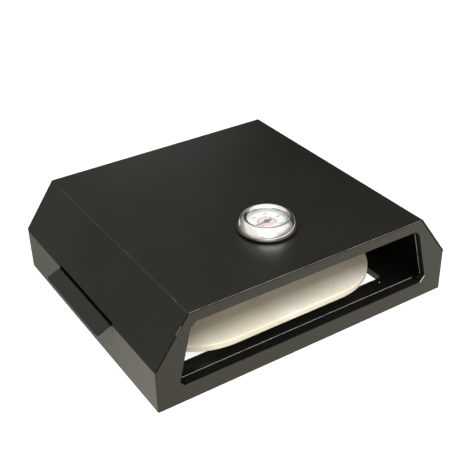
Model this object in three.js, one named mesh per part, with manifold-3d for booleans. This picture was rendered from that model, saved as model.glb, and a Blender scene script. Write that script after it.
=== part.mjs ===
// A sheet-steel pizza oven that stands on a barbecue grate, with a baking stone and a dial thermometer.
// Millimetres. X runs across the oven, Y from the mouth at the front (-Y) to the back, Z up.
// The origin is on the grate, in the middle of the oven.
import * as THREE from 'three';
import { mergeVertices } from 'three/addons/utils/BufferGeometryUtils.js';
import Module from 'manifold-3d';

const wasm = await Module();
wasm.setup();

// Baking stone, and the room that the casing leaves round it
const stoneWidth = 327;
const stoneDepth = 276;
const stoneThickness = 8.5;
const stoneCornerRadius = 87;
const stoneEdgeRound = 1;
const stoneSeatGap = 0.3;
const stoneSideRoom = 36.5;
const stoneFrontRoom = 40.5;
const stoneBackRoom = 21.5;
const stoneCornerSteps = 12;
const stoneEdgeSteps = 2;

// Casing
const bodyHeight = 113;
const shoulderHeight = 55;
const shoulderRun = 41.5;
const sheet = 1;
const bendRadius = 1.2;
const bendSteps = 4;
const seamGap = 0.3;
const weldStrip = 10;
const weldStripInset = 4;
const cutOverrun = 2;

// Mouth in the front panel
const sillHeight = 21.5;
const sillReturn = 13.6;
const cheekMargin = 28;
const cheekReturn = 9;
const lintelDrop = 14.5;
const headMargin = 2.5;
const lowerCornerRun = 6;
const lowerCornerRise = 6.5;
const upperCornerRun = 6.5;
const upperCornerRise = 6;
const mouthCornerRadius = 2.5;
const mouthCornerSteps = 3;
const returnSlit = 0.6;

// Handle lips along the tops of the side walls
const gripLength = 136;
const gripForward = 2;
const gripSlope = 17.5;
const gripDroopDegrees = 24;
const gripBendRadius = 1.5;
const gripCrestDrop = 2.2;
const gripEndRadius = 3;
const gripCornerSteps = 3;
const reliefWidth = 1;
const reliefDepth = 10.6;
const shoulderCutback = 1.2;

// Floor, with a window under the stone
const stoneBearing = 17.5;
const stoneOffCentre = 9.5;
const lipHeight = 9.2;
const lipCornerGap = 3;
const floorEdgeHeight = 10;

// Thermometer. Its heights count up from the top face of the hood.
const gaugeSetback = 89;
const gaugeSeatGap = 0.3;
const runningGap = 0.05;
const skirtSegments = 60;
const gaugeSegments = 48;
const smallSegments = 28;

const dialRadius = 24.8;
const dialThickness = 0.6;
const dialRoom = 2.5;
const dialHoleRadius = 2;
const lensThickness = 1.1;
const lensRoom = 1.8;
const lensRingWidth = 1.8;

const caseWall = 0.9;
const caseFloor = 0.8;
const caseLedge = 2.1;
const caseBrim = 0.8;

const bezelOverlap = 2.1;
const bezelFlare = 9.5;
const bezelCrownRise = 3.1;
const bezelSheet = 0.8;
const bezelBrimGap = 0.7;
const bezelShares = [
  [0, 0.83], [0.04, 0.89], [0.15, 0.96], [0.305, 1], [0.46, 0.975], [0.65, 0.855],
  [0.82, 0.667], [0.94, 0.465], [1, 0.264], [0.977, 0.15], [0.9, 0.088], [0.8, 0.075],
];

const pointerReach = 17.8;
const pointerTail = 7;
const pointerRootWidth = 2.2;
const pointerTipWidth = 0.7;
const pointerEyeRadius = 3.2;
const pointerThickness = 0.4;
const pointerRestDegrees = 186;
const hubLift = 0.4;
const hubBaseRadius = 2.6;
const hubBase = 0.5;
const hubBossRadius = 1.7;
const hubBossRise = 0.9;

const stemNeckRadius = 5;
const stemHeadRadius = 7;
const stemHead = 2;
const stemClearance = 0.3;
const probeRadius = 3.2;
const probeWall = 0.7;
const probeTipWall = 1.4;
const probeLength = 50;
const spindleRadius = 1;
const spindleRise = 0.2;
const spindleEndPlay = 0.3;
const bushFlangeRadius = 4.5;
const bushFlange = 0.8;
const bushLength = 5;
const anchorLength = 4;
const anchorSocketDepth = 2.5;

const coilTurns = 9;
const coilStepsPerTurn = 12;
const coilRibbonWidth = 1.8;
const coilRibbonThickness = 0.4;
const coilHeadroom = 6;

const washerRadius = 9.5;
const washerThickness = 1;
const nutAcrossFlats = 17;
const nutThickness = 6;
const nutSides = 6;
const neckPastNut = 2;

// Places and sizes that follow from those
const bodyWidth = stoneWidth + 2 * stoneSideRoom;
const bodyDepth = stoneFrontRoom + stoneDepth + stoneBackRoom;
const halfWidth = bodyWidth / 2;
const frontFace = -bodyDepth / 2;
const backFace = bodyDepth / 2;
const stoneY = frontFace + stoneFrontRoom + stoneDepth / 2;
const windowY = stoneY - stoneOffCentre;
const shoulderRise = bodyHeight - shoulderHeight;
const shoulderLength = Math.hypot(shoulderRun, shoulderRise);
const shoulderOutX = shoulderRise / shoulderLength;
const shoulderOutZ = shoulderRun / shoulderLength;
const panelInset = sheet + seamGap;
const wallFront = frontFace + panelInset;
const wallBack = backFace - panelInset;
const gripFront = -gripForward - gripLength / 2;
const gripBack = gripFront + gripLength;
const gaugeY = frontFace + gaugeSetback;

const stemHeadBase = gaugeSeatGap + caseFloor + gaugeSeatGap;
const bushSeat = stemHeadBase + stemHead + gaugeSeatGap;
const dialBase = bushSeat + bushFlange + dialRoom;
const dialTop = dialBase + dialThickness;
const hubBottom = dialTop + hubLift;
const pointerBase = hubBottom + hubBase + gaugeSeatGap;
const hubTop = hubBottom + hubBase + hubBossRise;
const spindleTop = hubTop + spindleRise;
const lensBase = spindleTop + lensRoom;
const lensTop = lensBase + lensThickness;
const bezelHeight = lensTop + gaugeSeatGap + bezelCrownRise;
const caseInnerRadius = dialRadius + gaugeSeatGap;
const caseRadius = caseInnerRadius + caseWall;
const bezelRadius = caseRadius + bezelFlare;
const probeBore = probeRadius - probeWall;
const probeBoreEnd = probeTipWall - probeLength;
const anchorTop = probeBoreEnd + gaugeSeatGap + anchorLength;
const washerTop = -sheet - gaugeSeatGap;
const nutTop = washerTop - washerThickness - gaugeSeatGap;
const neckEnd = nutTop - nutThickness - neckPastNut;
const neckHoleRadius = stemNeckRadius + stemClearance;

const enamel = { color: 0x33322e, roughness: 0.34, metalness: 0.2 };
const ceramic = { color: 0xd9cfbb, roughness: 0.8, metalness: 0 };
const chrome = { color: 0xd8d8d4, roughness: 0.12, metalness: 1 };
const steel = { color: 0xa7a8a6, roughness: 0.35, metalness: 1 };
const brass = { color: 0xb39a5c, roughness: 0.35, metalness: 1 };
const glass = { color: 0xeef3f2, roughness: 0.05, metalness: 0, transparent: true, opacity: 0.3 };
const whitePaint = { color: 0xf2f1ec, roughness: 0.5, metalness: 0 };
const blackPaint = { color: 0x161616, roughness: 0.45, metalness: 0 };

// Outlines

function point(x, y) {
  return new THREE.Vector2(x, y);
}

function mirrored(points) {
  return points.map((p) => point(-p.x, p.y)).reverse();
}

function toRight(direction) {
  return point(direction.y, -direction.x);
}

// The corner between two sides of a path after both sides have moved to their right.
function shiftedCorner(before, corner, after, amount) {
  const one = toRight(corner.clone().sub(before).normalize());
  const two = toRight(after.clone().sub(corner).normalize());
  const bisector = one.clone().add(two).normalize();
  return corner.clone().addScaledVector(bisector, amount / bisector.dot(two));
}

// Moves every side of a closed counter-clockwise outline outwards.
function grown(points, amount) {
  return points.map((corner, i) => {
    const before = points[(i + points.length - 1) % points.length];
    const after = points[(i + 1) % points.length];
    return shiftedCorner(before, corner, after, amount);
  });
}

// A curved sheet seen end on, to the right of an open path.
function curvedSheet(path, thickness) {
  const last = path.length - 1;
  const beforeStart = path[0].clone().multiplyScalar(2).sub(path[1]);
  const afterEnd = path[last].clone().multiplyScalar(2).sub(path[last - 1]);
  const inside = path.map((corner, i) => {
    const before = i > 0 ? path[i - 1] : beforeStart;
    const after = i < last ? path[i + 1] : afterEnd;
    return shiftedCorner(before, corner, after, thickness);
  });
  return path.concat(inside.reverse());
}

function arc(centre, radius, from, sweep, steps) {
  const points = [];
  for (let step = 0; step <= steps; step += 1) {
    const angle = from + (sweep * step) / steps;
    points.push(point(centre.x + radius * Math.cos(angle), centre.y + radius * Math.sin(angle)));
  }
  return points;
}

// The smaller turn from one angle to another.
function turnBetween(from, to) {
  const turn = to - from;
  return Math.atan2(Math.sin(turn), Math.cos(turn));
}

// Replaces each corner of a closed outline by an arc.
function rounded(points, radius, steps) {
  return points.flatMap((corner, i) => {
    const before = points[(i + points.length - 1) % points.length];
    const after = points[(i + 1) % points.length];
    const toBefore = before.clone().sub(corner).normalize();
    const toAfter = after.clone().sub(corner).normalize();
    const halfAngle = Math.acos(toBefore.dot(toAfter)) / 2;
    const setback = radius / Math.tan(halfAngle);
    const inward = toBefore.clone().add(toAfter).normalize();
    const centre = corner.clone().addScaledVector(inward, radius / Math.sin(halfAngle));
    const from = toBefore.multiplyScalar(setback).add(corner).sub(centre).angle();
    const to = toAfter.multiplyScalar(setback).add(corner).sub(centre).angle();
    return arc(centre, radius, from, turnBetween(from, to), steps);
  });
}

// A bent sheet seen end on. The path is one of its faces, and the sheet lies to the right of it.
function bentSheet(path, thickness, insideRadius, steps) {
  const last = path.length - 1;
  const directions = path.slice(1).map((p, i) => p.clone().sub(path[i]).normalize());
  const near = [path[0]];
  const far = [path[0].clone().addScaledVector(toRight(directions[0]), thickness)];
  for (let i = 1; i < last; i += 1) {
    const before = toRight(directions[i - 1]);
    const after = toRight(directions[i]);
    const side = before.cross(after) < 0 ? 1 : -1;
    const nearRadius = side > 0 ? insideRadius + thickness : insideRadius;
    const farRadius = side > 0 ? insideRadius : insideRadius + thickness;
    const bisector = before.clone().add(after).normalize();
    const centre = path[i].clone().addScaledVector(bisector, (side * nearRadius) / bisector.dot(after));
    const from = before.multiplyScalar(-side).angle();
    const sweep = turnBetween(from, after.multiplyScalar(-side).angle());
    near.push(...arc(centre, nearRadius, from, sweep, steps));
    far.push(...arc(centre, farRadius, from, sweep, steps));
  }
  near.push(path[last]);
  far.push(path[last].clone().addScaledVector(toRight(directions[last - 1]), thickness));
  return near.concat(far.reverse());
}

// Solids

// Moves every corner of a geometry to the place that a function gives it.
function reshaped(geometry, place) {
  const corners = geometry.attributes.position;
  for (let i = 0; i < corners.count; i += 1) {
    corners.setXYZ(i, ...place(corners.getX(i), corners.getY(i), corners.getZ(i)));
  }
  return geometry;
}

function block(x0, x1, y0, y1, z0, z1) {
  const pick = (side, low, high) => (side < 0 ? low : high);
  return reshaped(new THREE.BoxGeometry(), (x, y, z) => [pick(x, x0, x1), pick(y, y0, y1), pick(z, z0, z1)]);
}

function extruded(points) {
  return new THREE.ExtrudeGeometry(new THREE.Shape(points), { depth: 1, bevelEnabled: false });
}

// An outline in X and Z, carried along Y.
function alongY(points, yFrom, yTo) {
  return reshaped(extruded(points), (x, y, z) => [x, z > 0 ? yFrom : yTo, y]);
}

// An outline in X and Y, carried along Z.
function alongZ(points, zFrom, zTo) {
  return reshaped(extruded(points), (x, y, z) => [x, y, z > 0 ? zTo : zFrom]);
}

// A closed outline of radius and height, turned about the Z axis.
function turned(outline, segments) {
  const geometry = new THREE.LatheGeometry([...outline, outline[0].clone()], segments);
  return cleaned(geometry.rotateX(Math.PI / 2));
}

function ring(innerRadius, outerRadius, zFrom, zTo, segments) {
  const outline = [
    point(innerRadius, zFrom),
    point(outerRadius, zFrom),
    point(outerRadius, zTo),
    point(innerRadius, zTo),
  ];
  return turned(outline, segments);
}

// A flat strip to the left of the line from a to b, carried along Y.
function stripBeside(a, b, thickness, yFrom, yTo) {
  const aside = toRight(b.clone().sub(a).normalize()).multiplyScalar(-thickness);
  return alongY([a, b, b.clone().add(aside), a.clone().add(aside)], yFrom, yTo);
}

// Merges shared corners and drops the flat triangles that a turned outline has on its axis.
function cleaned(geometry) {
  const bare = geometry.clone();
  bare.deleteAttribute('normal');
  bare.deleteAttribute('uv');
  const merged = mergeVertices(bare);
  const all = Array.from(merged.index.array);
  const kept = [];
  for (let i = 0; i < all.length; i += 3) {
    const [a, b, c] = all.slice(i, i + 3);
    if (a !== b && b !== c && c !== a) kept.push(a, b, c);
  }
  merged.setIndex(kept);
  return merged;
}

function toSolid(geometry) {
  const clean = cleaned(geometry);
  const vertProperties = Float32Array.from(clean.attributes.position.array);
  const triVerts = Uint32Array.from(clean.index.array);
  return new wasm.Manifold(new wasm.Mesh({ numProp: 3, vertProperties, triVerts }));
}

function fromSolid(solid) {
  const mesh = solid.getMesh();
  const geometry = new THREE.BufferGeometry();
  geometry.setAttribute('position', new THREE.BufferAttribute(mesh.vertProperties, 3));
  geometry.setIndex(new THREE.BufferAttribute(mesh.triVerts, 1));
  return geometry;
}

function joined(geometries) {
  return geometries.map(toSolid).reduce((whole, next) => whole.add(next));
}

function cut(solid, geometries) {
  return geometries.map(toSolid).reduce((rest, next) => rest.subtract(next), solid);
}

function mirroredAcross(geometry) {
  const flipped = geometry.clone().scale(-1, 1, 1);
  const corners = Array.from(flipped.index.array);
  for (let i = 0; i < corners.length; i += 3) {
    [corners[i], corners[i + 1]] = [corners[i + 1], corners[i]];
  }
  flipped.setIndex(corners);
  return flipped;
}

// The casing's end view. An inset moves the shoulder and the top inwards by the same amount.

function shoulderFoot(inset) {
  return point(halfWidth, shoulderHeight - inset / shoulderOutZ);
}

function shoulderHead(inset) {
  const height = bodyHeight - inset;
  const run = (inset + shoulderOutZ * (height - shoulderHeight)) / shoulderOutX;
  return point(halfWidth - run, height);
}

function casingOutline(inset) {
  const half = [point(halfWidth, 0), shoulderFoot(inset), shoulderHead(inset)];
  return [...half, ...mirrored(half)];
}

// The top and both shoulders in one sheet, cut back over the handle lips.
function hood() {
  const half = [shoulderHead(0), shoulderFoot(0)];
  const profile = bentSheet([...mirrored(half), ...half], sheet, bendRadius, bendSteps);
  const whole = toSolid(alongY(profile, frontFace, backFace));
  const above = bodyHeight + cutOverrun;
  const hole = ring(0, neckHoleRadius, bodyHeight - sheet - cutOverrun, above, smallSegments);
  const cutFront = gripFront - reliefWidth;
  const cutBack = gripBack + reliefWidth;
  const cutTop = shoulderHeight + shoulderCutback;
  const cutFoot = shoulderHeight - sheet - cutOverrun;
  const outside = halfWidth + cutOverrun;
  const inside = halfWidth - shoulderRun;
  return fromSolid(cut(whole, [
    hole.translate(0, gaugeY, 0),
    block(inside, outside, cutFront, cutBack, cutFoot, cutTop),
    block(-outside, -inside, cutFront, cutBack, cutFoot, cutTop),
  ]));
}

// Strips bent back along the top and the shoulders, where the hood is welded on.
function weldStrips(yFrom, yTo) {
  const foot = shoulderFoot(panelInset);
  const head = shoulderHead(panelInset);
  const down = foot.clone().sub(head).normalize();
  const lower = foot.clone().addScaledVector(down, -weldStripInset);
  const upper = head.clone().addScaledVector(down, weldStripInset);
  const topEnd = point(head.x - weldStripInset, head.y);
  const [upperLeft, lowerLeft] = mirrored([lower, upper]);
  return [
    stripBeside(topEnd, point(-topEnd.x, topEnd.y), sheet, yFrom, yTo),
    stripBeside(lower, upper, sheet, yFrom, yTo),
    stripBeside(upperLeft, lowerLeft, sheet, yFrom, yTo),
  ];
}

function mouthOutline() {
  const footX = halfWidth - cheekMargin;
  const headX = halfWidth - shoulderRun - headMargin;
  const lintel = bodyHeight - lintelDrop;
  const half = [
    point(footX - lowerCornerRun, sillHeight),
    point(footX, sillHeight + lowerCornerRise),
    point(headX, lintel - upperCornerRise),
    point(headX - upperCornerRun, lintel),
  ];
  return [...half, ...mirrored(half)];
}

// The strips bent back round the cheeks of the mouth, apart from the sill and the lintel.
function cheekReturns() {
  const outline = grown(mouthOutline(), sheet);
  const hoop = rounded(outline, mouthCornerRadius + sheet, mouthCornerSteps);
  const behind = frontFace + sheet;
  const back = frontFace + cheekReturn;
  const beyond = back + cutOverrun;
  const underSill = sillHeight - sheet - cutOverrun;
  const headHeight = bodyHeight - lintelDrop - upperCornerRise;
  return fromSolid(cut(toSolid(alongY(hoop, frontFace, back)), [
    block(-halfWidth, halfWidth, behind, beyond, underSill, sillHeight + returnSlit),
    block(-halfWidth, halfWidth, behind, beyond, headHeight, bodyHeight),
  ]));
}

// The strip bent back along the sill, mitred at its ends.
function sillStrip() {
  const half = halfWidth - cheekMargin - lowerCornerRun;
  const back = frontFace + sillReturn;
  const plan = [
    point(-half, frontFace),
    point(half, frontFace),
    point(half - sillReturn, back),
    point(sillReturn - half, back),
  ];
  return alongZ(plan, sillHeight - sheet, sillHeight);
}

function frontPanel() {
  const plate = alongY(casingOutline(panelInset), frontFace, frontFace + sheet);
  const strips = weldStrips(frontFace, frontFace + weldStrip);
  const whole = joined([plate, ...strips, cheekReturns(), sillStrip()]);
  const mouth = rounded(mouthOutline(), mouthCornerRadius, mouthCornerSteps);
  return fromSolid(cut(whole, [alongY(mouth, frontFace - cutOverrun, backFace)]));
}

function backPanel() {
  const plate = alongY(casingOutline(panelInset), backFace - sheet, backFace);
  return fromSolid(joined([plate, ...weldStrips(backFace - weldStrip, backFace)]));
}

// The handle lip: the middle of the left wall, turned out and down, with round outer corners.
function gripLip() {
  const outer = -halfWidth;
  const droop = THREE.MathUtils.degToRad(gripDroopDegrees);
  const bendSetback = gripBendRadius * Math.tan((Math.PI / 2 + droop) / 2);
  const crest = shoulderHeight - gripCrestDrop;
  const corner = point(outer, crest - sheet - gripBendRadius + bendSetback);
  const outward = point(-Math.cos(droop), -Math.sin(droop));
  const tip = corner.clone().addScaledVector(outward, bendSetback + gripSlope);
  const profile = bentSheet([point(outer, 0), corner, tip], sheet, gripBendRadius, bendSteps);
  const tipEdge = tip.x - sheet * Math.sin(droop);
  const plan = [
    point(tipEdge, gripFront),
    point(halfWidth, gripFront),
    point(halfWidth, gripBack),
    point(tipEdge, gripBack),
  ];
  const rounding = alongZ(rounded(plan, gripEndRadius, gripCornerSteps), -cutOverrun, bodyHeight);
  return toSolid(alongY(profile, gripFront, gripBack)).intersect(toSolid(rounding));
}

// The end view of the left wall where it turns in under the shoulder.
function turnedInWall(turnLength) {
  const outer = -halfWidth;
  const bend = shoulderFoot(panelInset).y;
  const end = point(outer + turnLength * shoulderOutZ, bend + turnLength * shoulderOutX);
  return bentSheet([point(outer, 0), point(outer, bend), end], sheet, bendRadius, bendSteps);
}

// The left wall. The hood is welded to the strips that turn in, which are narrow beside the end panels.
function sideWall() {
  const outer = -halfWidth;
  const reliefFoot = shoulderFoot(panelInset).y - reliefDepth;
  const turnFront = frontFace + weldStrip + panelInset;
  const turnBack = backFace - weldStrip - panelInset;
  const wide = turnedInWall(weldStrip);
  const narrow = turnedInWall(weldStripInset - 2 * seamGap);
  const wall = joined([
    block(outer, outer + sheet, wallFront, wallBack, 0, reliefFoot),
    alongY(narrow, wallFront, turnFront),
    alongY(wide, turnFront, gripFront - reliefWidth),
    alongY(wide, gripBack + reliefWidth, turnBack),
    alongY(narrow, turnBack, wallBack),
  ]);
  return fromSolid(wall.add(gripLip()));
}

// A tray whose edges turn up along the walls, with lips round its window for the stone.
function floorPlate() {
  const edgeX = halfWidth - panelInset;
  const windowX = stoneWidth / 2 - stoneBearing;
  const windowFront = windowY - stoneDepth / 2 + stoneBearing;
  const windowBack = windowY + stoneDepth / 2 - stoneBearing;
  const outer = grown([
    point(-windowX, windowFront),
    point(windowX, windowFront),
    point(windowX, windowBack),
    point(-windowX, windowBack),
  ], sheet);
  const above = floorEdgeHeight + cutOverrun;
  const tray = cut(toSolid(block(-edgeX, edgeX, wallFront, wallBack, 0, floorEdgeHeight)), [
    block(sheet - edgeX, edgeX - sheet, wallFront + sheet, wallBack - sheet, sheet, above),
  ]);
  const notch = sheet + lipCornerGap;
  const notches = outer.map(({ x, y }) => block(x - notch, x + notch, y - notch, y + notch, sheet, above));
  const lips = cut(toSolid(alongZ(outer, sheet / 2, lipHeight)), notches);
  return fromSolid(cut(tray.add(lips), [
    block(-windowX, windowX, windowFront, windowBack, -cutOverrun, above),
  ]));
}

function bakingStone() {
  const halfX = stoneWidth / 2 - stoneEdgeRound;
  const halfY = stoneDepth / 2 - stoneEdgeRound;
  const corners = [point(-halfX, -halfY), point(halfX, -halfY), point(halfX, halfY), point(-halfX, halfY)];
  const outline = rounded(corners, stoneCornerRadius - stoneEdgeRound, stoneCornerSteps);
  const geometry = new THREE.ExtrudeGeometry(new THREE.Shape(outline), {
    depth: stoneThickness - 2 * stoneEdgeRound,
    bevelThickness: stoneEdgeRound,
    bevelSize: stoneEdgeRound,
    bevelSegments: stoneEdgeSteps,
  });
  return cleaned(geometry.translate(0, 0, stoneEdgeRound));
}

// Thermometer pieces, each on the Z axis with the hood's top face at zero

// The chrome ring: its skirt curls in under the brim of the case.
function gaugeBezel() {
  const windowRadius = dialRadius - bezelOverlap;
  const span = bezelRadius - windowRadius;
  const path = bezelShares.map(([out, up]) => point(windowRadius + out * span, up * bezelHeight));
  return turned(curvedSheet(path, bezelSheet).reverse(), skirtSegments);
}

// The pan: a ledge for the dial inside, and a brim for the bezel outside.
function gaugeCase() {
  const curlShare = bezelShares[bezelShares.length - 2][1];
  const brimBase = curlShare * bezelHeight + bezelSheet + gaugeSeatGap;
  const brimRadius = bezelRadius - bezelSheet - bezelBrimGap;
  const ledgeTop = dialBase - gaugeSeatGap;
  const ledgeRadius = caseInnerRadius - caseLedge;
  const floorTop = gaugeSeatGap + caseFloor;
  const outline = [
    point(neckHoleRadius, gaugeSeatGap),
    point(caseRadius, gaugeSeatGap),
    point(caseRadius, brimBase),
    point(brimRadius, brimBase),
    point(brimRadius, brimBase + caseBrim),
    point(caseRadius, brimBase + caseBrim),
    point(caseRadius, lensTop),
    point(caseInnerRadius, lensTop),
    point(caseInnerRadius, ledgeTop),
    point(ledgeRadius, ledgeTop),
    point(ledgeRadius, floorTop),
    point(neckHoleRadius, floorTop),
  ];
  return turned(outline, gaugeSegments);
}

function gaugeLens() {
  return ring(0, dialRadius, lensBase, lensTop, gaugeSegments);
}

// The spacer that keeps the glass off the dial.
function lensRing() {
  const inner = dialRadius - lensRingWidth;
  return ring(inner, dialRadius, dialTop + gaugeSeatGap, lensBase - gaugeSeatGap, gaugeSegments);
}

function gaugeDial() {
  return ring(dialHoleRadius, dialRadius, dialBase, dialTop, gaugeSegments);
}

// The needle: a tapered blade with an eye round the hub's boss. It points along +X.
function gaugePointer() {
  const top = pointerBase + pointerThickness;
  const blade = [
    point(-pointerTail, -pointerRootWidth / 2),
    point(pointerReach, -pointerTipWidth / 2),
    point(pointerReach, pointerTipWidth / 2),
    point(-pointerTail, pointerRootWidth / 2),
  ];
  const eye = ring(0, pointerEyeRadius, pointerBase, top, smallSegments);
  const eyeHole = hubBossRadius + gaugeSeatGap;
  const hole = ring(0, eyeHole, pointerBase - cutOverrun, top + cutOverrun, smallSegments);
  return fromSolid(cut(joined([alongZ(blade, pointerBase, top), eye]), [hole]));
}

function pointerHub() {
  const bore = spindleRadius + runningGap;
  const baseTop = hubBottom + hubBase;
  const outline = [
    point(bore, hubBottom),
    point(hubBaseRadius, hubBottom),
    point(hubBaseRadius, baseTop),
    point(hubBossRadius, baseTop),
    point(hubBossRadius, hubTop),
    point(bore, hubTop),
  ];
  return turned(outline, smallSegments);
}

function gaugeSpindle() {
  const foot = anchorTop - anchorSocketDepth + spindleEndPlay;
  return ring(0, spindleRadius, foot, spindleTop, smallSegments);
}

// The neck through the hood and the closed tube of the probe below it.
function gaugeStem() {
  const headTop = stemHeadBase + stemHead;
  const outline = [
    point(0, -probeLength),
    point(probeRadius, -probeLength),
    point(probeRadius, neckEnd),
    point(stemNeckRadius, neckEnd),
    point(stemNeckRadius, stemHeadBase),
    point(stemHeadRadius, stemHeadBase),
    point(stemHeadRadius, headTop),
    point(probeBore, headTop),
    point(probeBore, probeBoreEnd),
    point(0, probeBoreEnd),
  ];
  return turned(outline, smallSegments);
}

// The spindle's upper bearing, seated in the mouth of the stem.
function gaugeBush() {
  const bore = spindleRadius + runningGap;
  const bodyRadius = probeBore - gaugeSeatGap;
  const flangeTop = bushSeat + bushFlange;
  const outline = [
    point(bore, flangeTop - bushLength),
    point(bodyRadius, flangeTop - bushLength),
    point(bodyRadius, bushSeat),
    point(bushFlangeRadius, bushSeat),
    point(bushFlangeRadius, flangeTop),
    point(bore, flangeTop),
  ];
  return turned(outline, smallSegments);
}

// The plug in the probe's tip: it holds the coil's still end, and the spindle's foot turns in it.
function coilAnchor() {
  const bore = spindleRadius + runningGap;
  const radius = probeBore - gaugeSeatGap;
  const foot = anchorTop - anchorLength;
  const socketFoot = anchorTop - anchorSocketDepth;
  const outline = [
    point(0, foot),
    point(radius, foot),
    point(radius, anchorTop),
    point(bore, anchorTop),
    point(bore, socketFoot),
    point(0, socketFoot),
  ];
  return turned(outline, smallSegments);
}

// The bimetal ribbon, wound as a helix round the spindle.
function gaugeCoil() {
  const outer = probeBore - gaugeSeatGap;
  const inner = outer - coilRibbonThickness;
  const rise = coilRibbonWidth / 2;
  const from = anchorTop + gaugeSeatGap + rise;
  const to = bushSeat + bushFlange - bushLength - coilHeadroom - rise;
  const steps = coilTurns * coilStepsPerTurn;
  const section = [[inner, -rise], [outer, -rise], [outer, rise], [inner, rise]];
  const corners = section.length;
  const positions = [];
  const faces = [];
  for (let step = 0; step <= steps; step += 1) {
    const angle = (2 * Math.PI * step) / coilStepsPerTurn;
    const height = from + ((to - from) * step) / steps;
    for (const [radius, up] of section) {
      positions.push(radius * Math.cos(angle), radius * Math.sin(angle), height + up);
    }
  }
  for (let step = 0; step < steps; step += 1) {
    for (let k = 0; k < corners; k += 1) {
      const a = step * corners + k;
      const b = step * corners + ((k + 1) % corners);
      faces.push(a, a + corners, b + corners);
      faces.push(a, b + corners, b);
    }
  }
  const end = steps * corners;
  faces.push(0, 1, 2, 0, 2, 3);
  faces.push(end, end + 2, end + 1, end, end + 3, end + 2);
  const geometry = new THREE.BufferGeometry();
  geometry.setAttribute('position', new THREE.Float32BufferAttribute(positions, 3));
  geometry.setIndex(faces);
  return geometry;
}

function gaugeWasher() {
  return ring(neckHoleRadius, washerRadius, washerTop - washerThickness, washerTop, smallSegments);
}

function gaugeNut() {
  const cornerRadius = nutAcrossFlats / 2 / Math.cos(Math.PI / nutSides);
  const foot = nutTop - nutThickness;
  const hexagon = ring(0, cornerRadius, foot, nutTop, nutSides);
  const bore = ring(0, neckHoleRadius, foot - cutOverrun, nutTop + cutOverrun, smallSegments);
  return fromSolid(cut(toSolid(hexagon), [bore]));
}

// Assembly

const oven = new THREE.Group();
const gauge = new THREE.Group();
gauge.position.set(0, gaugeY, bodyHeight);
oven.add(gauge);

function place(group, name, geometry, look) {
  const mesh = new THREE.Mesh(geometry, new THREE.MeshStandardMaterial(look));
  mesh.name = name;
  group.add(mesh);
  return mesh;
}

place(oven, 'hood', hood(), enamel);
place(oven, 'front_panel', frontPanel(), enamel);
place(oven, 'back_panel', backPanel(), enamel);
const leftWall = sideWall();
place(oven, 'left_side', leftWall, enamel);
place(oven, 'right_side', mirroredAcross(leftWall), enamel);
place(oven, 'floor_plate', floorPlate(), enamel);
const stone = place(oven, 'baking_stone', bakingStone(), ceramic);
stone.position.set(0, stoneY, lipHeight + stoneSeatGap);

place(gauge, 'gauge_case', gaugeCase(), steel);
place(gauge, 'gauge_bezel', gaugeBezel(), chrome);
place(gauge, 'gauge_lens', gaugeLens(), glass);
place(gauge, 'lens_ring', lensRing(), steel);
place(gauge, 'gauge_dial', gaugeDial(), whitePaint);
const pointer = place(gauge, 'gauge_pointer', gaugePointer(), blackPaint);
pointer.rotation.z = THREE.MathUtils.degToRad(pointerRestDegrees);
place(gauge, 'pointer_hub', pointerHub(), blackPaint);
place(gauge, 'gauge_spindle', gaugeSpindle(), steel);
place(gauge, 'gauge_stem', gaugeStem(), steel);
place(gauge, 'gauge_bush', gaugeBush(), brass);
place(gauge, 'coil_anchor', coilAnchor(), brass);
place(gauge, 'gauge_coil', gaugeCoil(), steel);
place(gauge, 'gauge_washer', gaugeWasher(), steel);
place(gauge, 'gauge_nut', gaugeNut(), steel);

export default oven;
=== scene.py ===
"""A black enamelled pizza oven for a barbecue, with a baking stone and a dial thermometer.

Metres. X runs across the oven, Y from the mouth to the back, Z up from the grate.
"""
import math

import bmesh
import bpy
from mathutils import Matrix, Vector


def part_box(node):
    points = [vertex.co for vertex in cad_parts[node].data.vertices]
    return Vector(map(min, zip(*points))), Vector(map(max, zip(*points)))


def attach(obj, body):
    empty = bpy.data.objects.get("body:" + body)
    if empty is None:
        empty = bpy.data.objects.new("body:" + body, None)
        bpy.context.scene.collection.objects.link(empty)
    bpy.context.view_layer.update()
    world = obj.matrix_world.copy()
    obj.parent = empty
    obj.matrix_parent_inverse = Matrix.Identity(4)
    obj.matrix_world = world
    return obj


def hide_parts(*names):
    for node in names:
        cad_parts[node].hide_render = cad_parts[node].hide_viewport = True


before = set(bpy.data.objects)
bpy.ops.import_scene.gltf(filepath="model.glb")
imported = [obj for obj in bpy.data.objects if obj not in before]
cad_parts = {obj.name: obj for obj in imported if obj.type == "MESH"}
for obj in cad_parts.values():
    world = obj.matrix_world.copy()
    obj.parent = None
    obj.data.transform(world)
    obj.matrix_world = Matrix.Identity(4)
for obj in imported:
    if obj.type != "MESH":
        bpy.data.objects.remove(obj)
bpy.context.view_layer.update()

MM = 0.001
Y_AXIS, Z_AXIS = Vector((0, 1, 0)), Vector((0, 0, 1))

# Sizes that the boxes of the frame give
panel_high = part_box("front_panel")[1]
hood_low, hood_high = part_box("hood")
stone_low, stone_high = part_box("baking_stone")
dial_low, dial_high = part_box("gauge_dial")
bezel_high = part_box("gauge_bezel")[1]

HALF_WIDTH = panel_high.x
FRONT = hood_low.y
BACK = hood_high.y
TOP = hood_high.z
GAUGE_Y = (dial_low.y + dial_high.y) / 2
DIAL_TOP = dial_high.z
BEZEL_RADIUS = bezel_high.x
BEZEL_HEIGHT = bezel_high.z - TOP

# Sheet steel: its thickness, its softened cut edges, and the rounded corner between an end
# panel and a wall, with how far the panel reaches round it
SHEET = 1 * MM
CUT_EDGE = 0.12 * MM
CORNER = 2 * MM
CORNER_RETURN = 3 * MM

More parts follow.
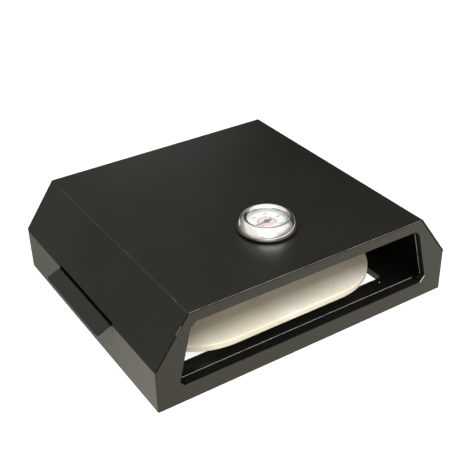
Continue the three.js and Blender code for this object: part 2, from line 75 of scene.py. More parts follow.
# The mouth: its rolled rim, which keeps clear of the panel's outline, and the strips bent back
# round it. The sill's strip is made longer, to reach into the mouth's lower corners.
MOUTH_FOLD = 0.7 * MM
OUTLINE_ROOM = 5 * MM
WELL_INSIDE = HALF_WIDTH - 20 * MM
SILL_BACK = FRONT + 13.6 * MM
SILL_END = 152.4 * MM
SILL_LONGER = 11.5 * MM
CHEEK_BACK = FRONT + 9 * MM

# The sloping shoulder, and the dark seam along the hood
SHOULDER_FOOT = 55 * MM
SHOULDER_RUN, SHOULDER_RISE = 41.5 * MM, 58 * MM
SHOULDER_ROOM = 3.5 * MM
SEAM = 0.8 * MM
SEAM_FOOT = 53 * MM

# Painted highlights in the mouth: the widths of the light lines along the strips' back edges,
# and the painted glint round the lower right corner of its rim
SILL_GLINT = 0.7 * MM
CHEEK_GLINT = 1.1 * MM
GLINT_FROM = 165 * MM
GLINT_LOW, GLINT_HIGH = 20.5 * MM, 29 * MM

# The walls' cut ends within this reach of the middle are those beside the handle lips
LIP_REACH = 90 * MM

# The hood: the folds between its top and its shoulders, with a painted highlight line along
# them, and the paler stretch of its front end
FOLD_LINE = 0.35 * MM
FOLD_BEYOND = 100 * MM
FOLD_DROP = 0.6 * MM
FOLD_AT = 157.6 * MM
PALER_STRETCH = (91 * MM, 100 * MM)

# The floor's window has lips, rolled at this height, and the stone has round corners
LIP_TOP = 9.2 * MM
LIP_ROLL = 0.3 * MM
STONE_CORNER = 87 * MM
STONE_EDGE = 1 * MM

# The thermometer's ring: its section as shares of its width and height, from its inner rim over
# the crown to its skirt
BEZEL_INNER = 22.7 * MM
BEZEL_SHEET = 0.8 * MM
BEZEL_EDGE = 0.15 * MM
BEZEL_SEGMENTS = 96
BEZEL_SHARES = [
    (0, 0.83), (0.04, 0.89), (0.15, 0.96), (0.305, 1), (0.46, 0.975), (0.65, 0.855),
    (0.82, 0.667), (0.94, 0.465), (1, 0.264), (0.977, 0.15), (0.9, 0.088), (0.8, 0.075),
]

# The dial's print: the scale in degrees from +X, clockwise, and radii in millimetres
SCALE_START = 225
SCALE_SWEEP = 270
SCALE_NUMBERS = (100, 200, 300, 400, 500)
LONG_MARKS = (10.4, 13.0)
SHORT_MARKS = (10.4, 11.6)
ARC_LINE = (10.0, 10.5)
RIM_LINE = (22.2, 22.6)
RED_RADIUS = 10.0
NUMBER_RADIUS = 17.5 * MM
NUMBER_SIZE = 4.2 * MM
PRINT_THICKNESS = 0.02 * MM
PRINT_LIFT = 0.03 * MM


# Edit mode

def clear_selection():
    if bpy.context.mode != "OBJECT":
        bpy.ops.object.mode_set(mode="OBJECT")
    bpy.ops.object.select_all(action="DESELECT")


def take_up(piece):
    """Makes this the only selected object, and the active one."""
    clear_selection()
    piece.select_set(True)
    bpy.context.view_layer.objects.active = piece


def open_new(name, mesh, materials):
    """A new piece with this mesh and these materials, open in edit mode."""
    piece = bpy.data.objects.new(name, mesh)
    for material in materials:
        mesh.materials.append(material)
    bpy.context.scene.collection.objects.link(piece)
    take_up(piece)
    bpy.ops.object.mode_set(mode="EDIT")
    return piece


def blank_piece(name, *materials):
    """An empty piece, open in edit mode."""
    return open_new(name, bpy.data.meshes.new(name), materials)


def copy_of(node, name, *materials):
    """A merged copy of a CAD node's mesh, with its flat triangles dissolved, in edit mode."""
    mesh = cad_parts[node].data.copy()
    mesh.name = name
    mesh.materials.clear()
    piece = open_new(name, mesh, materials)
    bpy.ops.mesh.select_all(action="SELECT")
    bpy.ops.mesh.remove_doubles(threshold=0.002 * MM)
    bpy.ops.mesh.customdata_custom_splitnormals_clear()
    dissolve_flats()
    return piece


def dissolve_flats():
    bpy.ops.mesh.select_all(action="SELECT")
    bpy.ops.mesh.dissolve_limited(angle_limit=math.radians(0.5))
    bpy.ops.mesh.select_all(action="DESELECT")


def pick(kind, wanted):
    """Selects the faces, edges or corners for which wanted() holds, and nothing else."""
    bpy.ops.mesh.select_mode(type={"faces": "FACE", "edges": "EDGE", "verts": "VERT"}[kind])
    bpy.ops.mesh.select_all(action="DESELECT")
    shape = bmesh.from_edit_mesh(bpy.context.edit_object.data)
    shape.normal_update()
    for part in getattr(shape, kind):
        if wanted(part):
            part.select_set(True)
    shape.select_flush_mode()
    bmesh.update_edit_mesh(bpy.context.edit_object.data)


def centre(face):
    return face.calc_center_median()


def middle(edge):
    return (edge.verts[0].co + edge.verts[1].co) / 2


def runs(edge, axis):
    """True if the edge is parallel to the axis."""
    along = edge.verts[1].co - edge.verts[0].co
    return along.length > 0 and abs(along.normalized().dot(axis)) > 0.999


def near(value, target, room=0.02 * MM):
    return abs(value - target) < room


def cut_picked(place, normal, **options):
    """Cuts what is selected along a plane."""
    bpy.ops.mesh.bisect(plane_co=place, plane_no=normal, threshold=0.001 * MM, **options)


def cut_all(place, normal, **options):
    """Cuts the whole open piece along a plane."""
    bpy.ops.mesh.select_all(action="SELECT")
    cut_picked(place, normal, **options)
    bpy.ops.mesh.select_all(action="DESELECT")


def soften(width=CUT_EDGE, segments=2, sharper_than=40):
    """Takes the sharpness off every crisp edge of the open piece."""
    bpy.ops.mesh.select_mode(type="EDGE")
    bpy.ops.mesh.select_all(action="DESELECT")
    bpy.ops.mesh.edges_select_sharp(sharpness=math.radians(sharper_than))
    bpy.ops.mesh.bevel(offset=width, segments=segments, affect="EDGES", clamp_overlap=True)
    bpy.ops.mesh.select_all(action="DESELECT")


def number_of(material):
    """The number that a material has in the open piece."""
    return bpy.context.edit_object.data.materials.find(material.name)


def coat(wanted, material):
    """Gives the faces for which wanted() holds one of the open piece's materials."""
    pick("faces", wanted)
    bpy.context.edit_object.active_material_index = number_of(material)
    bpy.ops.object.material_slot_assign()


def close_piece(piece, body, stands_for, smooth_below=32):
    """Leaves edit mode, smooths the shallow edges and enters the piece in the frame."""
    bpy.ops.object.mode_set(mode="OBJECT")
    bpy.ops.object.shade_smooth_by_angle(angle=math.radians(smooth_below))
    bpy.ops.object.modifier_add(type="WEIGHTED_NORMAL")
    weighted = piece.modifiers[-1]
    weighted.mode = "FACE_AREA"
    weighted.weight = 100
    weighted.keep_sharp = True
    bpy.ops.object.modifier_apply(modifier=weighted.name)
    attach(piece, body)
    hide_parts(*stands_for)
    clear_selection()


# Finishes

class Tone:
    """A number that changes over a surface: the socket that gives it."""

    def __init__(self, finish, socket):
        self.finish = finish
        self.socket = socket

    def worked(self, operation, *values):
        sockets = dict(enumerate(values))
        return self.finish.add("ShaderNodeMath", {"operation": operation}, sockets)

    def __add__(self, other):
        return self.worked("ADD", self, other)

    def __radd__(self, other):
        return self.worked("ADD", other, self)

    def __sub__(self, other):
        return self.worked("SUBTRACT", self, other)

    def __rsub__(self, other):
        return self.worked("SUBTRACT", other, self)

    def __mul__(self, other):
        return self.worked("MULTIPLY", self, other)

    def __truediv__(self, other):
        return self.worked("DIVIDE", self, other)

    def __abs__(self):
        return self.worked("ABSOLUTE", self)

    def root(self):
        return self.worked("SQRT", self)

    def fraction(self):
        return self.worked("FRACT", self)

    def at_most(self, limit):
        return self.worked("MINIMUM", self, limit)

    def above_zero(self):
        return (self + abs(self)) / 2

    def angle_from(self, across):
        """Degrees from +X, with this as the Y and across as the X."""
        return self.worked("ARCTAN2", self, across) * math.degrees(1)


class Nodes:
    """A node tree while it is laid out."""

    def __init__(self, tree):
        self.tree = tree

    def add(self, kind, settings=None, sockets=None, out=0):
        node = self.tree.nodes.new(kind)
        for name, value in (settings or {}).items():
            if name == "stops":
                self.set_stops(node.color_ramp, value)
            else:
                setattr(node, name, value)
        for name, value in (sockets or {}).items():
            self.feed(node.inputs[name], value)
        return Tone(self, node.outputs[out])

    def set_stops(self, ramp, stops):
        while len(ramp.elements) < len(stops):
            ramp.elements.new(0.5)
        for element, (place, colour) in zip(ramp.elements, stops):
            element.position = place
            element.color = (*colour, 1)

    def feed(self, socket, value):
        if isinstance(value, Tone):
            self.tree.links.new(value.socket, socket)
        elif hasattr(value, "__len__") and len(value) == 3 and len(socket.default_value) == 4:
            socket.default_value = (*value, 1)
        else:
            socket.default_value = value

    def place(self, move=(0, 0, 0), stretch=(1, 1, 1)):
        """Object coordinates, moved and stretched."""
        coordinates = self.add("ShaderNodeTexCoord", out=3)
        return self.add("ShaderNodeMapping", sockets={
            "Vector": coordinates, "Location": move, "Scale": stretch,
        })

    def noise(self, where, scale, detail=3, roughness=0.5, distortion=0):
        return self.add("ShaderNodeTexNoise", sockets={
            "Vector": where, "Scale": scale, "Detail": detail, "Roughness": roughness,
            "Distortion": distortion,
        })

    def ramp(self, factor, stops):
        return self.add("ShaderNodeValToRGB", {"stops": stops}, {"Fac": factor})

    def between(self, factor, first, second):
        """A colour that runs from the first to the second as the factor goes from 0 to 1."""
        sockets = {0: factor, 6: first, 7: second}
        return self.add("ShaderNodeMix", {"data_type": "RGBA"}, sockets, out=2)

    def step(self, value, low, high):
        """Runs from 0 to 1 as the value goes from low to high."""
        return self.add("ShaderNodeMapRange", {"interpolation_type": "SMOOTHSTEP"}, {
            "Value": value, "From Min": low, "From Max": high,
        })

    def bump(self, height, distance, strength):
        return self.add("ShaderNodeBump", sockets={
            "Height": height, "Distance": distance, "Strength": strength,
        })

    def outputs(self, kind, *names):
        """A new node, with its outputs of these names."""
        node = self.tree.nodes.new(kind)
        return node, [Tone(self, node.outputs[name]) for name in names]

    def parts(self, vector, *axes):
        """The named parts of a vector."""
        split, tones = self.outputs("ShaderNodeSeparateXYZ", *axes)
        self.feed(split.inputs["Vector"], vector)
        return tones


class Finish(Nodes):
    """A material while its nodes are laid out."""

    def __init__(self, name, **constants):
        self.material = bpy.data.materials.new(name)
        self.material.use_nodes = True
        super().__init__(self.material.node_tree)
        self.shader = self.tree.nodes["Principled BSDF"]
        self.output = self.tree.nodes["Material Output"]
        self.paint(**constants)

    def paint(self, **sockets):
        for name, value in sockets.items():
            self.feed(self.shader.inputs[name.replace("_", " ")], value)
        return self.material

    def join(self, kind, sockets, shader_into):
        """Puts a new node between the shader and the output."""
        joined = self.add(kind, sockets=sockets)
        self.tree.links.new(self.shader.outputs[0], joined.socket.node.inputs[shader_into])
        self.tree.links.new(joined.socket, self.output.inputs["Surface"])


def enamel_finish():
    """Satin black enamel: a faint orange peel, uneven gloss and a trace of dust."""
    finish = Finish("black_enamel", IOR=1.42, Specular_Tint=(1, 0.97, 0.86))
    where = finish.place()
    cloud = finish.noise(where, 9, detail=4)
    peel = finish.noise(where, 700, detail=2)
    speck = finish.noise(where, 2600, detail=1)
    return finish.paint(
        Base_Color=finish.ramp(cloud * 0.8 + speck * 0.2, [
            (0.3, (0.0024, 0.0023, 0.0019)), (0.7, (0.0044, 0.0042, 0.0035)),
        ]),
        Roughness=0.28 + cloud * 0.10 + speck * 0.04,
        Normal=finish.bump(peel, distance=0.02 * MM, strength=0.35),
    )


def worn_enamel_finish(name, dark_until, paleness=1):
    """Pale grey patches on the enamel where the noise is above a level: painted highlight on
    the hood's cut end and folds, and a paler stretch of its left slope.
    """
    finish = Finish(name, IOR=1.42)
    where = finish.place()
    patch_noise = finish.noise(where, 60, detail=5, roughness=0.7)
    grain = finish.noise(where, 1800, detail=2)
    return finish.paint(
        Base_Color=finish.ramp(patch_noise * 0.8 + grain * 0.2, [
            (dark_until, (0.006, 0.006, 0.005)),
            (dark_until + 0.12, tuple(paleness * c for c in (0.075, 0.072, 0.066))),
            (dark_until + 0.3, tuple(paleness * c for c in (0.16, 0.155, 0.14))),
        ]),
        Roughness=0.38 + grain * 0.15,
        Normal=finish.bump(grain, distance=0.02 * MM, strength=0.4),
    )


def bare_edge_finish():
    """Painted highlights on edges of the mouth: a light steel grey, partly metallic, for the
    light lines and glints they show.
    """
    finish = Finish("glint_edge", IOR=1.8)
    where = finish.place()
    patch_noise = finish.noise(where, 90, detail=4)
    grain = finish.noise(where, 1800, detail=2)
    return finish.paint(
        Base_Color=finish.ramp(patch_noise, [
            (0.3, (0.18, 0.175, 0.16)), (0.5, (0.30, 0.29, 0.27)), (0.7, (0.42, 0.41, 0.38)),
        ]),
        Roughness=0.32 + grain * 0.15,
        Metallic=patch_noise * 0.4,
        Normal=finish.bump(grain, distance=0.02 * MM, strength=0.4),
    )


def seam_dirt_finish():
    """Painted shade in seams, on cut ends and on strips that no light reaches: a near-black
    colour.
    """
    finish = Finish("seam_shade", IOR=1.2)
    where = finish.place()
    shade_noise = finish.noise(where, 300, detail=4)
    return finish.paint(
        Base_Color=finish.ramp(shade_noise, [
            (0.3, (0.0012, 0.0011, 0.0010)), (0.7, (0.0035, 0.0032, 0.0028)),
        ]),
        Roughness=0.8 + shade_noise * 0.15,
        Normal=finish.bump(shade_noise, distance=0.05 * MM, strength=0.5),
    )


def stone_finish():
    """Cream fired stone: fine grit, soft clouds of tone and open pores."""
    finish = Finish("cream_stone", IOR=1.45)
    where = finish.place()
    cloud = finish.noise(where, 14, detail=4, distortion=0.6)
    grit = finish.noise(where, 900, detail=3)
    pores = finish.step(finish.noise(where, 420, detail=2), 0.62, 0.74)
    base = finish.ramp(cloud * 0.75 + grit * 0.25, [
        (0.32, (0.70, 0.625, 0.49)), (0.52, (0.785, 0.73, 0.61)), (0.72, (0.85, 0.81, 0.72)),
    ])
    return finish.paint(
        Base_Color=finish.between(pores * 0.35, base, (0.42, 0.35, 0.27)),
        Roughness=0.62 + grit * 0.25,
        Normal=finish.bump(grit - pores * 0.8, distance=0.12 * MM, strength=0.5),
    )


def chrome_finish():
    """Bright plating: faint clouds of tone and fine polishing haze."""
    finish = Finish("bright_chrome", Metallic=1.0)
    where = finish.place(move=(0, -GAUGE_Y, 0))
    cloud = finish.noise(where, 60, detail=3)
    fine = finish.noise(where, 1400, detail=2)
    return finish.paint(
        Base_Color=finish.ramp(cloud, [(0.3, (0.80, 0.79, 0.76)), (0.7, (0.88, 0.87, 0.84))]),
        Roughness=0.09 + fine * 0.06,
        Normal=finish.bump(cloud, distance=0.05 * MM, strength=0.15),
    )


def turned_finish(name, colour, roughness):
    """Turned metal, with fine lines round the thermometer's axis."""
    finish = Finish(name, Metallic=1.0)
    where = finish.place(move=(0, -GAUGE_Y, 0), stretch=(1, 1, 12))
    lines = finish.noise(where, 500, detail=3)
    darker = tuple(0.8 * c for c in colour)
    return finish.paint(
        Base_Color=finish.ramp(lines, [(0.3, darker), (0.7, colour)]),
        Roughness=roughness + lines * 0.12,
        Normal=finish.bump(lines, distance=0.02 * MM, strength=0.3),
    )


def black_paint_finish():
    """Matte black paint with a fine grain."""
    finish = Finish("pointer_paint")
    grain = finish.noise(finish.place(), 1500, detail=2)
    return finish.paint(
        Base_Color=finish.ramp(grain, [
            (0.3, (0.012, 0.011, 0.011)), (0.7, (0.028, 0.025, 0.024)),
        ]),
        Roughness=0.35 + grain * 0.2,
        Normal=finish.bump(grain, distance=0.01 * MM, strength=0.3),
    )


def dial_finish():
    """White dial paint with its print: rim line, scale and a pale red middle."""
    finish = Finish("dial_print")
    where = finish.place(move=(0, -GAUGE_Y, 0))
    across, along = finish.parts(where, "X", "Y")
    radius = (across * across + along * along).root()
    from_start = ((SCALE_START - along.angle_from(across)) / 360).fraction() * 360

    def beyond(limit, blur=0.1):
        """Runs from 0 to 1 as the radius passes a limit in millimetres."""
        return finish.step(radius, limit * MM - blur * MM, limit * MM + blur * MM)

    def band(inner, outer):
        return beyond(inner) * (1 - beyond(outer))

    def marks(every, half_width, blur=0.06):
        """Radial marks every so many degrees, with half their width in millimetres."""
        off = abs((from_start / every + 0.5).fraction() - 0.5) * math.radians(every) * radius
        return 1 - finish.step(off, (half_width - blur) * MM, (half_width + blur) * MM)

    on_scale = 1 - finish.step(from_start, SCALE_SWEEP + 0.5, SCALE_SWEEP + 1.5)
    long_marks = band(*LONG_MARKS) * marks(SCALE_SWEEP / 10, half_width=0.30)
    short_marks = band(*SHORT_MARKS) * marks(SCALE_SWEEP / 50, half_width=0.16)
    ink = (long_marks + short_marks + band(*ARC_LINE)) * on_scale + band(*RIM_LINE) * 0.5
    grain = finish.noise(where, 900, detail=2)
    paper = finish.ramp(grain, [(0.3, (0.43, 0.43, 0.41)), (0.7, (0.48, 0.48, 0.46))])
    tinted = finish.between((1 - beyond(RED_RADIUS)) * 0.9, paper, (0.43, 0.28, 0.265))
    return finish.paint(
        Base_Color=finish.between(ink.at_most(1), tinted, (0.02, 0.018, 0.02)),
        Roughness=0.42 + grain * 0.1,
    )


def glass_finish():
    """Clear flat glass: what is behind it shows, under its own sheen."""
    finish = Finish("lens_glass", IOR=1.5)
    smear = finish.noise(finish.place(move=(0, -GAUGE_Y, 0)), 70, detail=3)
    clear = finish.add("ShaderNodeBsdfTransparent")
    sheen = finish.add("ShaderNodeFresnel", sockets={"IOR": 1.5}) * 0.9 + 0.03
    _, (inner_face,) = finish.outputs("ShaderNodeNewGeometry", "Backfacing")
    finish.join("ShaderNodeMixShader", {0: sheen * (1 - inner_face), 1: clear}, shader_into=2)
    return finish.paint(
        Base_Color=finish.ramp(smear, [(0.3, (0.90, 0.93, 0.92)), (0.7, (0.95, 0.97, 0.96))]),
        Roughness=0.02 + smear * 0.05,
    )


enamel = enamel_finish()
pale_patches = worn_enamel_finish("pale_patches", 0.36)
pale_specks = worn_enamel_finish("pale_specks", 0.53, paleness=0.5)
glint_edge = bare_edge_finish()
seam_shade = seam_dirt_finish()
cream_stone = stone_finish()
bright_chrome = chrome_finish()
bright_steel = turned_finish("turned_steel", (0.62, 0.62, 0.60), 0.24)
yellow_brass = turned_finish("turned_brass", (0.72, 0.55, 0.28), 0.26)
pointer_paint = black_paint_finish()
dial_print = dial_finish()
lens_glass = glass_finish()

for material, node_names in (
    (bright_steel, ("gauge_case", "lens_ring", "gauge_spindle", "gauge_stem", "gauge_coil",
                    "gauge_washer", "gauge_nut")),
    (yellow_brass, ("gauge_bush", "coil_anchor")),
    (dial_print, ("gauge_dial",)),
    (pointer_paint, ("gauge_pointer", "pointer_hub")),
    (lens_glass, ("gauge_lens",)),
):
    for node_name in node_names:
        node_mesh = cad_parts[node_name].data
        node_mesh.materials.clear()
        node_mesh.materials.append(material)


# End panels

def end_panel(node, name, face_y, inward, *materials):
    """An end panel whose upright edges turn round into the walls, with rounded corners."""
    panel = copy_of(node, name, *materials)
    inner_x = HALF_WIDTH - SHEET
    inner_y = face_y + inward * SHEET

    def inner_margin(face):
        at_side = abs(centre(face).x) > inner_x
        return at_side and near(centre(face).y, inner_y) and face.normal.y * inward > 0.99

    def upright_at(x, y):
        return lambda edge: (near(abs(middle(edge).x), x) and near(middle(edge).y, y)
                             and runs(edge, Z_AXIS))

    for side in (-1, 1):
        cut_all((side * inner_x, 0, 0), (side, 0, 0))
    pick("faces", inner_margin)
    bpy.ops.mesh.extrude_region_move(
        TRANSFORM_OT_translate={"value": (0, inward * (CORNER_RETURN - SHEET), 0)})
    dissolve_flats()
    pick("edges", upright_at(HALF_WIDTH, face_y))
    bpy.ops.mesh.bevel(offset=CORNER, segments=6, affect="EDGES")
    pick("edges", upright_at(inner_x, inner_y))
    bpy.ops.mesh.bevel(offset=CORNER - SHEET, segments=4, affect="EDGES")
    return panel


def under_shoulder(place):
    """How far a point of the panel's face lies inside the line of the shoulder."""
    inside = (HALF_WIDTH - abs(place.x)) * SHOULDER_RISE
    above = (place.z - SHOULDER_FOOT) * SHOULDER_RUN
    return (inside - above) / math.hypot(SHOULDER_RUN, SHOULDER_RISE)


def on_face(edge):
    return all(near(corner.co.y, FRONT) for corner in edge.verts)


def mouth_rim(edge):
    """True for the front edge of the mouth, and not for the panel's own outline."""
    place = middle(edge)
    off_ends = abs(place.x) < WELL_INSIDE and OUTLINE_ROOM < place.z < TOP - OUTLINE_ROOM
    return on_face(edge) and off_ends and under_shoulder(place) > SHOULDER_ROOM


def seam_edge(edge):
    """True for the edges of the panel's face that meet the hood."""
    return on_face(edge) and middle(edge).z > SEAM_FOOT and not mouth_rim(edge)


def looks_across(face):
    """True for upright faces that look across the mouth."""
    return abs(face.normal.x) > 0.9 and face.normal.x * centre(face).x < 0


def sill_edge(face):
    """True along the back edge of the sill's strip."""
    return centre(face).y > SILL_BACK - SILL_GLINT and face.normal.z > 0.5


def cheek_edge(face):
    """True along the back edge of a cheek's strip."""
    return CHEEK_BACK - CHEEK_GLINT < centre(face).y < CHEEK_BACK and looks_across(face)


def cheek_strip(face):
    """True on a cheek's strip, between the rim and that back edge."""
    between = FRONT + MOUTH_FOLD / 2 < centre(face).y < CHEEK_BACK - CHEEK_GLINT
    return between and abs(centre(face).x) < WELL_INSIDE and looks_across(face)


def rubbed_corner(face):
    """True on the rolled rim of the mouth, round its lower right corner, where a glint is
    painted.
    """
    place = centre(face)
    on_roll = place.y < FRONT + MOUTH_FOLD and face.normal.y > -0.95
    in_corner = GLINT_FROM < place.x < WELL_INSIDE and GLINT_LOW < place.z < GLINT_HIGH
    return on_roll and in_corner


mouth_panel = end_panel("front_panel", "mouth_panel", FRONT, 1, enamel, glint_edge, seam_shade)
for side in (-1, 1):
    pick("verts", lambda v: near(v.co.x, side * SILL_END, 0.2 * MM)
         and near(v.co.y, SILL_BACK, 0.2 * MM))
    bpy.ops.transform.translate(value=(side * SILL_LONGER, 0, 0))
pick("edges", mouth_rim)
bpy.ops.mesh.bevel(offset=MOUTH_FOLD, segments=3, affect="EDGES")
# Painted shade: the rounded seam where the panel meets the hood takes the near-black seam
# colour.
pick("edges", seam_edge)
bpy.ops.mesh.bevel(
    offset=SEAM, segments=3, profile=0.15, affect="EDGES", material=number_of(seam_shade))
for strip_back, glint_width in ((SILL_BACK, SILL_GLINT), (CHEEK_BACK, CHEEK_GLINT)):
    cut_all((0, strip_back - glint_width, 0), (0, 1, 0))
# Painted highlights: light lines along the back edges of the sill's and cheeks' strips, and a
# painted glint round the mouth's lower right corner.
coat(sill_edge, glint_edge)
coat(cheek_edge, glint_edge)
# Painted shade on the cheeks' strips inside the mouth.
coat(cheek_strip, seam_shade)
coat(rubbed_corner, glint_edge)
soften()
close_piece(mouth_panel, "oven", ["front_panel"])

rear_panel = end_panel("back_panel", "rear_panel", BACK, -1, enamel)
soften()
close_piece(rear_panel, "oven", ["back_panel"])


# Walls

def beside_lip(face):
    """True on the wall's cut ends at both sides of its handle lip."""
    return abs(centre(face).y) < LIP_REACH and abs(face.normal.y) > 0.9


for wall_node, wall_name in (("left_side", "left_wall"), ("right_side", "right_wall")):
    wall = copy_of(wall_node, wall_name, enamel, seam_shade)
    for end, outward in ((FRONT + CORNER_RETURN, -1), (BACK - CORNER_RETURN, 1)):
        cut_all((0, end, 0), (0, outward, 0), clear_outer=True, use_fill=True)
    # Painted shade: the cut ends beside the handle lip take the near-black seam colour.
    coat(beside_lip, seam_shade)
    soften()
    close_piece(wall, "oven", [wall_node])


# Hood and floor

def top_fold(edge):
    """True where the top folds down into the shoulders."""
    at_top = near(middle(edge).z, TOP, FOLD_DROP) and abs(middle(edge).x) > FOLD_BEYOND
    return at_top and runs(edge, Y_AXIS)


def cut_end(face):
    """True for the hood's cut front end, which shows as a line above the panel."""
    return near(centre(face).y, FRONT) and face.normal.y < -0.9


def slope_end(face):
    return cut_end(face) and abs(centre(face).x) > FOLD_AT


def chip(face):
    """True on the paler stretch of the left slope's end."""
    return slope_end(face) and centre(face).x < 0 and PALER_STRETCH[0] < centre(face).z < PALER_STRETCH[1]


hood_sheet = copy_of("hood", "hood_sheet", enamel, pale_patches, pale_specks, seam_shade)
# Painted highlight: the folds' bevel gets pale specks, for the light line along each fold.
pick("edges", top_fold)
bpy.ops.mesh.bevel(
    offset=FOLD_LINE, segments=2, affect="EDGES", material=number_of(pale_specks))
for side in (-1, 1):
    pick("faces", cut_end)
    cut_picked((side * FOLD_AT, 0, 0), (1, 0, 0))
for stretch_end in PALER_STRETCH:
    pick("faces", slope_end)
    cut_picked((0, 0, stretch_end), (0, 0, 1))
# Painted highlight: the cut front end gets pale patches, for the light line above the panel.
coat(cut_end, pale_patches)
# Painted shade along the slopes' cut ends, where the seam shows dark.
coat(slope_end, seam_shade)
# A paler stretch of the left slope's end, in pale patches.
coat(chip, pale_patches)
soften()
close_piece(hood_sheet, "oven", ["hood"])

floor_tray = copy_of("floor_plate", "floor_tray", enamel)
pick("edges", lambda e: near(middle(e).z, LIP_TOP))
bpy.ops.mesh.bevel(offset=LIP_ROLL, segments=3, affect="EDGES")
soften()
close_piece(floor_tray, "oven", ["floor_plate"])


# Baking stone

stone_slab = blank_piece("stone_slab", cream_stone)
bpy.ops.mesh.primitive_cube_add(
    size=1, location=(stone_low + stone_high) / 2, scale=stone_high - stone_low)
pick("edges", lambda e: runs(e, Z_AXIS))
bpy.ops.mesh.bevel(offset=STONE_CORNER, segments=28, affect="EDGES")
soften(STONE_EDGE, segments=4)
close_piece(stone_slab, "stone", ["baking_stone"])


# Thermometer

def smooth_line(points, steps):
    """A soft curve through the points, with so many steps between two of them."""
    last = len(points) - 1
    line = []
    for i in range(last):
        p0 = Vector(points[max(i - 1, 0)])
        p1, p2 = Vector(points[i]), Vector(points[i + 1])
        p3 = Vector(points[min(i + 2, last)])
        for step in range(steps):
            t = step / steps
            line.append(0.5 * (2 * p1 + (p2 - p0) * t + (2 * p0 - 5 * p1 + 4 * p2 - p3) * t * t
                               + (3 * p1 - p0 - 3 * p2 + p3) * t * t * t))
    return [*line, Vector(points[last])]


def moved_in(line, amount):
    """The same line, moved sideways by an amount towards its right."""
    moved = []
    for i, p in enumerate(line):
        way = (line[min(i + 1, len(line) - 1)] - line[max(i - 1, 0)]).normalized()
        moved.append(p + Vector((way.y, -way.x)) * amount)
    return moved


def turned_ring(name, section, material):
    """A closed ring round the thermometer's axis, drawn out from (radius, height) steps."""
    piece = blank_piece(name, material)
    radius, height = section[0]
    bpy.ops.mesh.primitive_circle_add(
        vertices=BEZEL_SEGMENTS, radius=radius, location=(0, GAUGE_Y, height))
    for next_radius, next_height in section[1:]:
        bpy.ops.mesh.extrude_region_move(
            TRANSFORM_OT_translate={"value": (0, 0, next_height - height)})
        bpy.ops.transform.resize(
            value=(next_radius / radius, next_radius / radius, 1),
            center_override=(0, GAUGE_Y, next_height))
        radius, height = next_radius, next_height
    pick("verts", lambda v: v.is_boundary)
    bpy.ops.mesh.bridge_edge_loops()
    bpy.ops.mesh.select_all(action="SELECT")
    bpy.ops.mesh.normals_make_consistent(inside=False)
    return piece


def dial_number(number):
    """One number of the dial's scale, as thin raised text."""
    name = f"dial_number_{number}"
    text = bpy.data.curves.new(name, "FONT")
    text.body = str(number)
    text.size = NUMBER_SIZE
    text.align_x = "CENTER"
    text.align_y = "CENTER"
    text.extrude = PRINT_THICKNESS
    angle = math.radians(SCALE_START - number * SCALE_SWEEP / SCALE_NUMBERS[-1])
    mark = bpy.data.objects.new(name, text)
    mark.location = (
        NUMBER_RADIUS * math.cos(angle),
        GAUGE_Y + NUMBER_RADIUS * math.sin(angle),
        DIAL_TOP + PRINT_LIFT,
    )
    bpy.context.scene.collection.objects.link(mark)
    take_up(mark)
    bpy.ops.object.convert(target="MESH")
    bpy.ops.object.transform_apply(location=True, rotation=True, scale=True)
    mark.data.materials.append(pointer_paint)
    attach(mark, "oven")


bezel_line = smooth_line([
    (BEZEL_INNER + out * (BEZEL_RADIUS - BEZEL_INNER), TOP + up * BEZEL_HEIGHT)
    for out, up in BEZEL_SHARES
], 3)
bezel_section = [*bezel_line, *reversed(moved_in(bezel_line, BEZEL_SHEET))]
chrome_ring = turned_ring("chrome_ring", bezel_section, bright_chrome)
soften(BEZEL_EDGE, sharper_than=50)
close_piece(chrome_ring, "oven", ["gauge_bezel"], smooth_below=45)

for scale_number in SCALE_NUMBERS:
    dial_number(scale_number)


# Table, light and camera

# The table's own light, by strength: as the camera sees it, and as the oven mirrors it, which
# fades by a share from one depth of the table to another
TABLE_SHOWN = 0.85
MIRRORED_TINT = (1, 0.975, 0.88)
MIRRORED_FADE = 0.85
FADE_FROM, FADE_TO = -0.35, 0.3

# The room's light runs up this ramp with the height of a direction, less so much of how far it
# points back, to the right, or to both
ROOM_TONES = [
    (0.0, (0.05, 0.049, 0.044)), (0.10, (0.22, 0.216, 0.195)), (0.22, (0.34, 0.333, 0.30)),
    (0.50, (0.42, 0.41, 0.38)), (0.56, (0.85, 0.84, 0.80)), (0.79, (1, 0.99, 0.96)),
]
ROOM_LEVEL = 0.29
BACKWARD_X, BACKWARD_Y = 0.3, 0.95
BACK_LOSS, RIGHT_LOSS, CORNER_LOSS = 0.5, 0.18, 1.2

# The photograph's camera, as fitted to ten corners of the casing: degrees of azimuth, elevation
# and roll, and the point that it looks at
PHOTO_PIXELS = 474
FOCAL_PIXELS = 899.75
SENSOR = 36
CAMERA_TURN = (-32.67, 32.25, -1.14)
CAMERA_AIM = Vector((10.18, 0, 54.78)) * MM
CAMERA_DISTANCE = 1128.26 * MM


def stage_floor():
    floor = blank_piece("table_top")
    bpy.ops.mesh.primitive_plane_add(size=24, location=(0, 0, -0.1 * MM))
    clear_selection()
    finish = Finish("white_table", Roughness=0.9, Base_Color=(0.28, 0.277, 0.24))
    _, (seen, mirrored, through) = finish.outputs(
        "ShaderNodeLightPath", "Is Camera Ray", "Is Glossy Ray", "Is Transmission Ray")
    (depth,) = finish.parts(finish.place(), "Y")
    fading = 1 - finish.step(depth, FADE_FROM, FADE_TO) * MIRRORED_FADE
    glow = finish.add("ShaderNodeEmission", sockets={
        "Color": finish.between(mirrored, (1, 1, 1), MIRRORED_TINT),
        "Strength": (seen + through).at_most(1) * TABLE_SHOWN + mirrored * fading,
    })
    finish.join("ShaderNodeAddShader", {1: glow}, shader_into=0)
    floor.data.materials.append(finish.material)


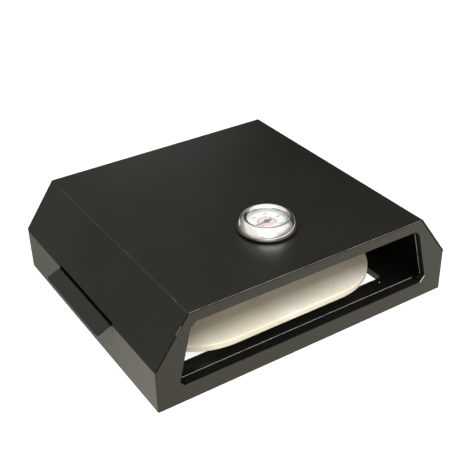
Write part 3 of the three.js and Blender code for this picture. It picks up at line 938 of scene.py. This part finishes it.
def soft_box(name, place, aim, size, watts, colour=(1, 1, 1)):
    lamp = bpy.data.lights.new(name, "AREA")
    lamp.shape = "RECTANGLE"
    lamp.size, lamp.size_y = size
    lamp.energy = watts
    lamp.color = colour
    holder = bpy.data.objects.new(name, lamp)
    holder.location = place
    holder.rotation_euler = (Vector(aim) - Vector(place)).to_track_quat("-Z", "Y").to_euler()
    bpy.context.scene.collection.objects.link(holder)


def studio_world():
    """A white room over and in front of the table, and a darker one behind it."""
    world = bpy.data.worlds.new("studio")
    world.use_nodes = True
    room = Nodes(world.node_tree)
    across, along, height = room.parts(room.add("ShaderNodeTexCoord"), "X", "Y", "Z")
    behind = (across * BACKWARD_X + along * BACKWARD_Y).above_zero()
    rightward = across.above_zero()
    level = (ROOM_LEVEL + height - behind * BACK_LOSS - across * RIGHT_LOSS
             - rightward * rightward * behind * CORNER_LOSS)
    _, (seen,) = room.outputs("ShaderNodeLightPath", "Is Camera Ray")
    light = room.between(seen, room.ramp(level, ROOM_TONES), (1, 1, 1))
    room.feed(room.tree.nodes["Background"].inputs["Color"], light)
    bpy.context.scene.world = world


def photograph_camera():
    lens = bpy.data.cameras.new("camera")
    lens.sensor_width = SENSOR
    lens.lens = FOCAL_PIXELS / PHOTO_PIXELS * SENSOR
    camera = bpy.data.objects.new("camera", lens)
    azimuth, elevation, roll = (math.radians(angle) for angle in CAMERA_TURN)
    back = Vector((math.sin(azimuth) * math.cos(elevation),
                   -math.cos(azimuth) * math.cos(elevation), math.sin(elevation)))
    level_right = Vector((math.cos(azimuth), math.sin(azimuth), 0))
    level_up = back.cross(level_right)
    right = level_right * math.cos(roll) + level_up * math.sin(roll)
    up = level_up * math.cos(roll) - level_right * math.sin(roll)
    turn = Matrix((right, up, back)).transposed()
    place = CAMERA_AIM + back * CAMERA_DISTANCE
    camera.matrix_world = Matrix.Translation(place) @ turn.to_4x4()
    bpy.context.scene.collection.objects.link(camera)
    bpy.context.scene.camera = camera


stage_floor()
studio_world()
soft_box("key_box", (-0.6, -1.1, 1.55), (-0.6, -0.12, 0.02), (3.0, 0.68), 68, (0.94, 0.975, 1))
soft_box("ceiling_box", (-0.2, -0.35, 1.7), (-0.2, -0.35, 0), (2.4, 1.6), 4)
soft_box("low_fill_box", (-0.6, -1.5, 0.8), (0, 0, 0), (1.2, 0.6), 11, (1, 0.9, 0.74))
soft_box("back_strip_box", (-0.45, 1.65, 0.12), (0, 0, 0.1), (0.7, 0.3), 0.55)
soft_box("back_card_box", (0.76, 1.70, 0.67), (0, 0, 0.1), (0.5, 0.25), 0.45)
photograph_camera()
bpy.context.scene.view_settings.view_transform = "Standard"
